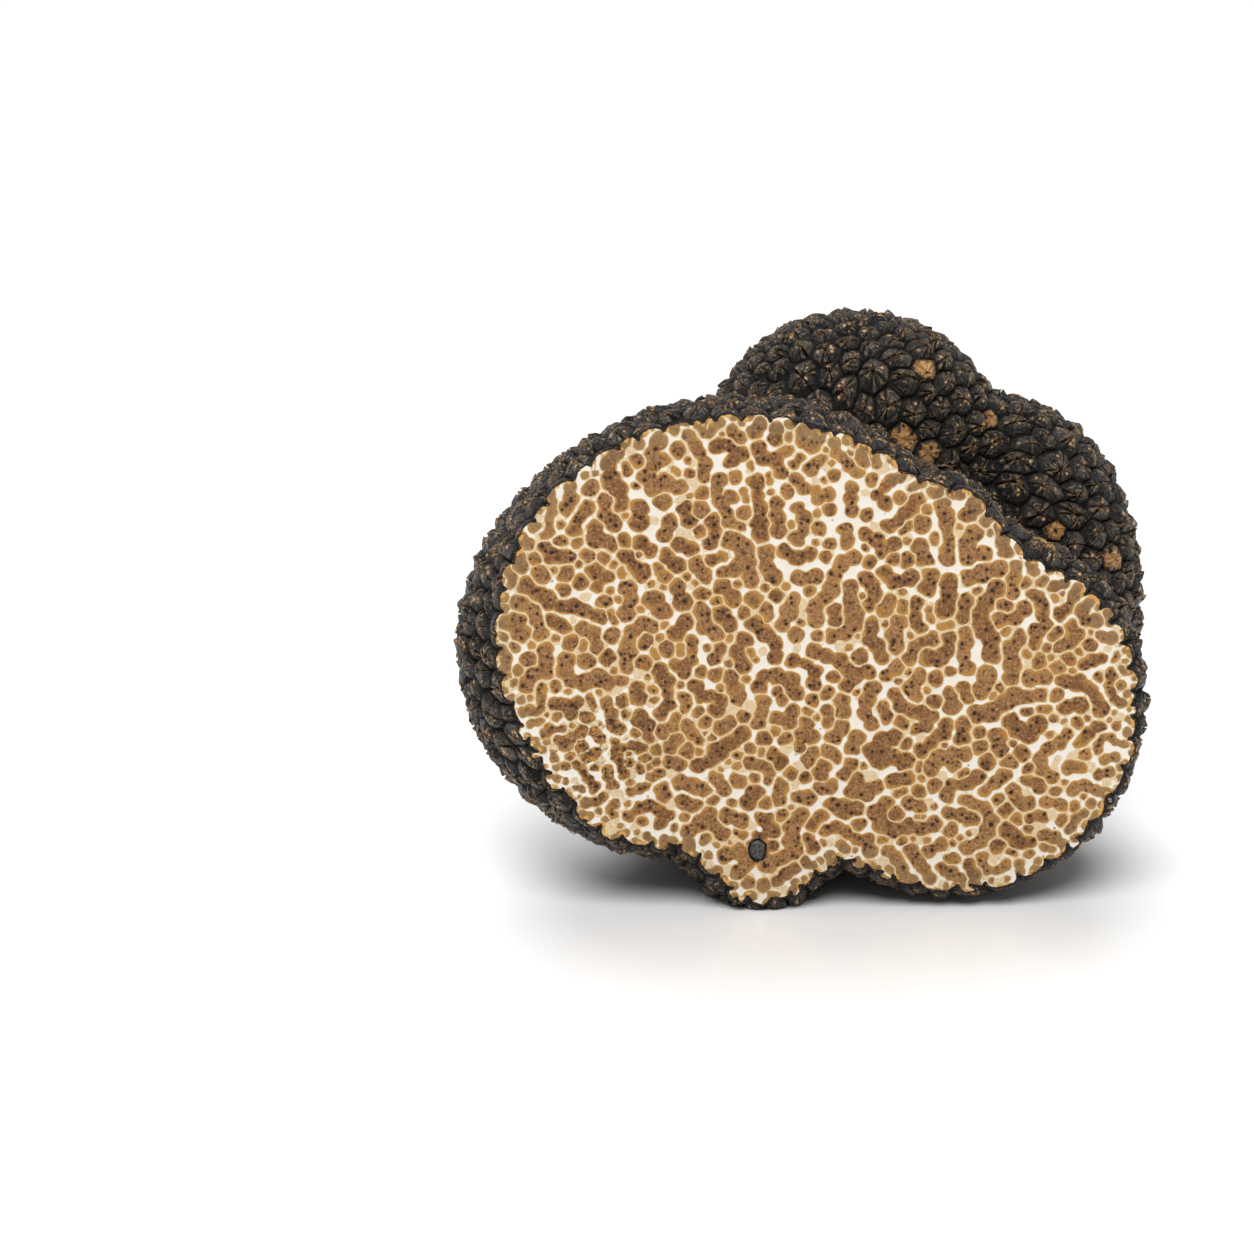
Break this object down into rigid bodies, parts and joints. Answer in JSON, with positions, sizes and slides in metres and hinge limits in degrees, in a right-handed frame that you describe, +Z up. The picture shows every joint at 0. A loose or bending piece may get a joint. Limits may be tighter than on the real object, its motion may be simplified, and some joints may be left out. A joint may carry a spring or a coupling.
{
  "type": "autumn truffle",
  "caption": "Cut black autumn truffle: lobed body with a rind of pyramid-shaped warts and one flat cut face showing veined flesh.",
  "frame": {"origin": "middle of the bounding box's footprint, on the ground that the part rests on", "axes": "+Z up, +X to the right when looking at the cut face, -Y out of the cut face"},
  "size_m": [0.0742, 0.0408, 0.0591],
  "materials": {
    "rind": "matte, dry, warty"
  },
  "bodies": {
    "root": {"truffle": "rind"}
  },
  "joints": []
}
